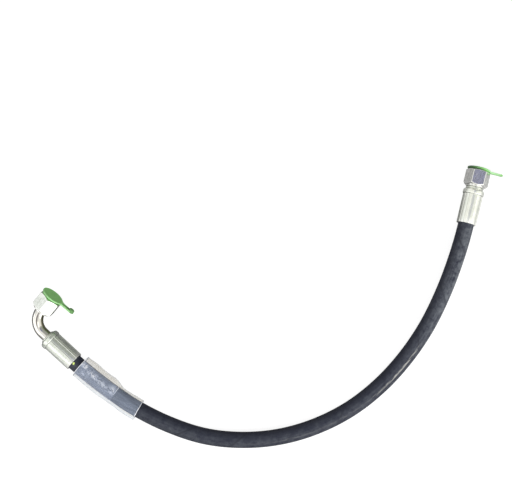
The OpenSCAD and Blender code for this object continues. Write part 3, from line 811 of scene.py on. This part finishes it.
def sleeve_frames(z):
    """The hose's centre, side and rise at places along the sleeve, in mm from its far end."""
    past_mouth = 0.7
    line = hose_line(past_mouth, past_mouth, 40)
    place = np.r_[0, np.cumsum(np.linalg.norm(np.diff(line, axis=0), axis=1))]
    mouth = place[-1] - past_mouth
    at = mouth - SLEEVE_GAP - SLEEVE_LEN + z
    centre = np.stack([np.interp(at, place, line[:, k]) for k in range(3)], 1)
    way = np.gradient(centre, z, axis=0)
    way /= np.linalg.norm(way, axis=1)[:, None]
    side = np.cross(way, UP)
    side /= np.linalg.norm(side, axis=1)[:, None]
    return centre, side, np.cross(side, way)


def lens(share, left, right, high):
    """Height over the hose's centre of the flattened film at a share of its width, from -1 at the
    left seam to 1 at the right: on each side an arc from the seam to the top, level at the top."""
    reach = np.where(share < 0, left, right)
    arc = (reach**2 + high**2) / (2 * high)
    x = share * reach
    return x, np.sqrt(np.maximum(arc**2 - x**2, 0)) - (arc - high)


def wrinkle(z, a):
    """Buckled film: waves that cross at a slant, strongest towards the fitting."""
    waves = (
        np.sin(0.9 * z + 2.1 * a) * np.sin(0.23 * z - 3.4 * a + 1.0)
        + 0.6 * np.sin(0.41 * z + 5.3 * a + 0.4) + 0.5 * np.sin(1.7 * z - 4.1 * a + 2.0)
    )
    return waves * (0.25 + 0.75 * smooth((z - 30) / 30))


def crease_highlight(z, x):
    """How strongly the creases are painted white as highlights, from 0 to 1: most in a band that slants
    from the right of the near end to the middle of the label's far end, and in a patch at either end of
    the label."""
    band = np.exp(-(((x - 6 + 5.5 * smooth((97 - z) / 50)) / 3.8) ** 2)) * smooth((z - 36) / 8)
    patch = np.exp(-(((x - 4) / 5) ** 2) - ((z - 44) / 4) ** 2)
    patch = patch + np.exp(-(((x + 4) / 2.5) ** 2) - ((z - 88) / 5) ** 2)
    return np.clip(band * (0.5 + 0.5 * smooth((z - 62) / 18)) + 0.55 * patch, 0, 1)


def sleeve():
    """Film tube: a lens-shaped section along the hose, wider over the label, 0.3 mm thick."""
    half = 33
    close = np.array([0, 0.5, 0.9, 1.3])
    z = np.r_[close, np.linspace(2, SLEEVE_LEN - 2, 97), SLEEVE_LEN - close[::-1]][:, None]
    centre, side, rise = sleeve_frames(z[:, 0])
    turn_share = np.cos(np.linspace(0, math.pi, half))
    share = np.r_[turn_share, turn_share[-2:0:-1]][None, :]
    top = np.r_[np.ones(half), -np.ones(half - 2)][None, :]
    # Half widths on both sides, each wavy. The right one grows by 3.9 mm where the label starts
    grow = smooth((z - 33) / 18)
    left, right = 15.7 + 0.5 * np.sin(0.11 * z + 0.5), 14.1 + 3.9 * grow + 0.4 * np.sin(0.17 * z)
    walls = []
    for inward in (0.0, SLEEVE_WALL):
        x, y = lens(share, left - 2 * inward, right - 2 * inward, COVER_R + 1.1 - inward)
        # Wrinkles up to the seams, which themselves wave up and down
        bump = 0.12 * wrinkle(z, 0.12 * x) * (1 - share**2)
        y = top * (y + bump) + (-0.6 + 0.5 * np.sin(0.13 * z + 1.2)) * share**2
        walls.append(centre[:, None] + x[..., None] * side[:, None] + y[..., None] * rise[:, None])
    grid = np.concatenate([walls[0], walls[1][::-1]])
    # Crease highlights painted over the hose, below 0 beside it, cooler and thinner on the left, and
    # painted white as highlights along its seams and ends
    beyond = np.where(share < 0, -share * left, share * right) - (COVER_R - 0.2)
    margin = np.where(share < 0, -1.9, -0.9) * smooth(beyond / 1.2)
    worn = np.where(beyond > 0, margin, 0.9 * crease_highlight(z, share * 16))
    ends = smooth((1.3 - np.minimum(z, SLEEVE_LEN - z)) / 0.5)
    worn = np.where(np.abs(share) > 0.985, 0.93, np.where(ends > 0, ends, worn))
    place = np.r_[z[:, 0], z[::-1, 0], 0]
    step = np.r_[0, np.cumsum(np.full(share.size, 0.9))]
    return shell(grid, loop=True, worn=np.concatenate([worn, worn[::-1]]), along=place, across=step)


def label():
    """Bare film under the sleeve: a strip 22 mm wide on the same kind of arc, over the hose's top."""
    z = np.r_[39, 39.5, 39.9, 40.3, np.linspace(41, 99, 59)][:, None]
    centre, side, rise = sleeve_frames(z[:, 0])
    half_width, reach, high, cols = 11.0, 16.5, 11.72, 29
    x = np.linspace(-half_width, half_width, cols)
    across = np.r_[x, x[::-1]][None, :]
    depth = np.r_[np.zeros(cols), np.full(cols, LABEL_WALL)][None, :]
    y = lens(across / reach, reach, reach, high)[1] - depth + 0.07 * wrinkle(z, 0.3 * across) - 0.1
    grid = centre[:, None] + across[..., None] * side[:, None] + y[..., None] * rise[:, None]
    # The far end is painted white as a highlight from its middle to its right
    end = smooth((1.3 - z + z[0]) / 0.5) * smooth((across + 3) / 4)
    worn = np.maximum(0.89 * crease_highlight(z, across), end)
    place = x + half_width
    return shell(grid, worn=worn, along=np.r_[z[:, 0], 0], across=np.r_[place, place[::-1], 0])


sleeve_piece = piece("sleeve_film", [sleeve()], SLEEVE, "clear_sleeve", "sleeve")
label_piece = piece("label_film", [label()], LABEL, "id_label", "sleeve")

# ---------------------------------------------------------------- paint mark


def paint_dab():
    """Dab of paint on the cover: a low dome over an uneven circle, bent round the hose."""
    angle = np.linspace(0, 2 * math.pi, 28, endpoint=False)[None, :]
    out = np.r_[np.linspace(0.06, 1, 8), np.linspace(0.98, 0.06, 4)][:, None]
    rise = np.r_[0.05 + 0.25 * (1 - np.linspace(0.06, 1, 8) ** 2), np.full(4, -0.05)][:, None]
    size = 1.7 * (1 + 0.1 * np.sin(2 * angle + 0.6) + 0.07 * np.sin(3 * angle + 2))
    a = math.radians(-97) + out * size * np.cos(angle) / COVER_R
    z = -2.1 + 0.9 * out * size * np.sin(angle)
    r = COVER_R + rise
    return np.stack([r * np.cos(a), r * np.sin(a), z + 0 * a], -1)


mark = piece(
    "inspection_mark", [shell(put(paint_dab(), LEVEL_ELBOW))], PAINT, "paint_mark", "root"
)

# ---------------------------------------------------------------- frame pieces that keep their shape

for name, look in (
    ("straight_insert", TURNED), ("elbow_insert", TURNED), ("elbow_seat_sleeve", TURNED),
    ("straight_thrust_wire", WIRE), ("elbow_thrust_wire", WIRE),
):
    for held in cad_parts[name].material_slots:
        held.material = look

# ---------------------------------------------------------------- floor and light

floor_mesh = bpy.data.meshes.new("floor")
floor_half = 12.0
floor_mesh.from_pydata(
    [(x * floor_half, y * floor_half, FLOOR_Z * MM) for x, y in ((-1, -1), (1, -1), (1, 1), (-1, 1))],
    [], [(0, 1, 2, 3)],
)
floor = bpy.data.objects.new("floor", floor_mesh)
bpy.context.scene.collection.objects.link(floor)
floor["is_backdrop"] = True


def seen_ray(tree):
    """1 for what the camera sees, straight, mirrored or through clear film, and 0 for stray light."""
    path = add(tree, "LightPath")
    seen = add(
        tree, "Math", {0: path.outputs["Is Camera Ray"], 1: path.outputs["Is Glossy Ray"]},
        operation="MAXIMUM",
    ).outputs[0]
    return add(
        tree, "Math", {0: seen, 1: path.outputs["Is Transmission Ray"]}, operation="MAXIMUM"
    ).outputs[0]


def white_floor():
    """Pale paper that looks white and still takes the object's shadow."""
    made, tree, shader = finish("pale_paper", "#969696", 0.9)
    shader.inputs["Specular IOR Level"].default_value = 0.0
    shader.inputs["Emission Color"].default_value = (1, 1, 1, 1)
    made.cycles.emission_sampling = "NONE"
    # The camera sees it whiter than metal does. Metal sees pools of light on it: to the right of the
    # part, behind the straight nut, and 40 mm in front of the elbow's ferrule. Each lies past one or
    # two lines on the floor: a line's direction, where along it the pool starts and is full, and how
    # bright it is.
    place = add(tree, "TexCoord").outputs["Object"]
    pool = 0.0
    for lines in (
        (((1, 0, 0), 0.0, 0.02, 0.35),), (((0, 1, 0), -0.03, -0.01, 0.2),),
        (((-0.463, -0.886, 0), 0.585, 0.615, 0.45), ((0.886, -0.463, 0), -0.31, -0.295, 1.0)),
    ):
        ramps = []
        for way, start, full, light in lines:
            along = add(tree, "VectorMath", {0: place, 1: way}, operation="DOT_PRODUCT")
            ramps.append((along.outputs["Value"], start, full, 0.0, light))
        pool = add(tree, "Math", {0: pool, 1: product(tree, *ramps)}, operation="MAXIMUM").outputs[0]
    camera_ray = add(tree, "LightPath").outputs["Is Camera Ray"]
    glow = add(tree, "Mix", {"Factor": camera_ray, 2: pool, 3: 0.86}).outputs[0]
    glow = add(tree, "Math", {0: seen_ray(tree), 1: glow}, operation="MULTIPLY").outputs[0]
    tree.links.new(glow, shader.inputs["Emission Strength"])
    return made


floor_mesh.materials.append(white_floor())

world = bpy.data.worlds.new("studio")
bpy.context.scene.world = world
world.use_nodes = True
tree = world.node_tree
tree.nodes.clear()
world.cycles.sampling_method = "NONE"
ray = add(tree, "TexCoord").outputs["Generated"]
# What bright metal mirrors: a pale room with panels, each by azimuth, elevation, the angles from
# its middle up to which it is full and past which it has faded, and its colour
room = (0.90, 0.89, 0.85, 1)
for azimuth, elevation, full, faded, light in (
    (-10, 32, 26, 40, (1.3, 1.3, 1.24)),       # pale wall
    (-130, 60, 24, 36, (1.2, 1.2, 1.16)),      # ceiling above the window
    (74, 42, 30, 40, (0.46, 0.47, 0.43)),      # grey wall
    (62, -14, 20, 35, (0.11, 0.11, 0.085)),    # dark corner
    (-132, 36, 9, 13, (2.1, 2.1, 2.08)),       # window
    (-140, 14, 10, 15, (2.0, 2.0, 1.98)),      # its lower part
    (-156, 8, 11, 17, (2.2, 2.2, 2.18)),       # second window
    (177, 20, 12, 22, (1.1, 1.12, 1.11)),      # pale wall beside it
    (162, 1, 13, 21, (0.56, 0.56, 0.54)),      # grey foot of that wall
    (-62, 20, 14, 22, (2.4, 2.4, 2.4)),        # front light
    (-34, 14, 9, 16, (2.8, 2.8, 2.75)),        # second front light
    (-25, 69, 7, 13, (2.2, 2.2, 2.0)),         # lamp overhead
    (50, 77, 7, 12, (0.27, 0.28, 0.44)),       # dim patch of ceiling
    (-100, 60, 9, 14, (0.28, 0.25, 0.26)),     # dark beam
):
    e, a = math.radians(elevation), math.radians(azimuth)
    middle = (math.cos(e) * math.cos(a), math.cos(e) * math.sin(a), math.sin(e))
    near = add(tree, "VectorMath", {0: ray, 1: middle}, operation="DOT_PRODUCT").outputs["Value"]
    share = add(
        tree, "MapRange",
        {"Value": near, "From Min": math.cos(math.radians(faded)),
         "From Max": math.cos(math.radians(full))},
        interpolation_type="SMOOTHSTEP",
    ).outputs["Result"]
    room = add(tree, "Mix", {"Factor": share, 6: room, 7: (*light, 1)}, data_type="RGBA").outputs[2]
camera_ray = add(tree, "LightPath").outputs["Is Camera Ray"]
room = add(tree, "Mix", {"Factor": camera_ray, 6: room, 7: (1, 1, 1, 1)}, data_type="RGBA").outputs[2]
shown = add(tree, "Background", {"Color": room, "Strength": 1.0}).outputs[0]
stray = add(tree, "Background", {"Color": (1, 1, 1, 1), "Strength": 0.19}).outputs[0]
both = add(tree, "MixShader", {0: seen_ray(tree), 1: stray, 2: shown}).outputs[0]
add(tree, "OutputWorld", {"Surface": both})

for name, place, size, power in (
    ("right_light", (0.75, -0.45, 0.70), (0.5, 0.5), 11.0),
    ("left_light", (-1.20, -1.05, 0.75), (0.6, 0.5), 7.5),
    ("front_light", (-0.25, -1.40, 0.80), (0.9, 0.4), 1.2),
    ("top_light", (-0.30, -0.40, 1.90), (1.4, 1.2), 8.0),
):
    lamp = bpy.data.objects.new(name, bpy.data.lights.new(name, "AREA"))
    bpy.context.scene.collection.objects.link(lamp)
    lamp.data.shape = "RECTANGLE"
    lamp.data.size, lamp.data.size_y = size
    lamp.data.energy = power
    lamp.location = place
    lamp.rotation_euler = (Vector((-0.27, -0.25, 0)) - lamp.location).to_track_quat("-Z", "Y").to_euler()
    lamp.visible_camera = lamp.visible_glossy = False

bpy.context.scene.view_settings.view_transform = "Standard"

low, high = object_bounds()
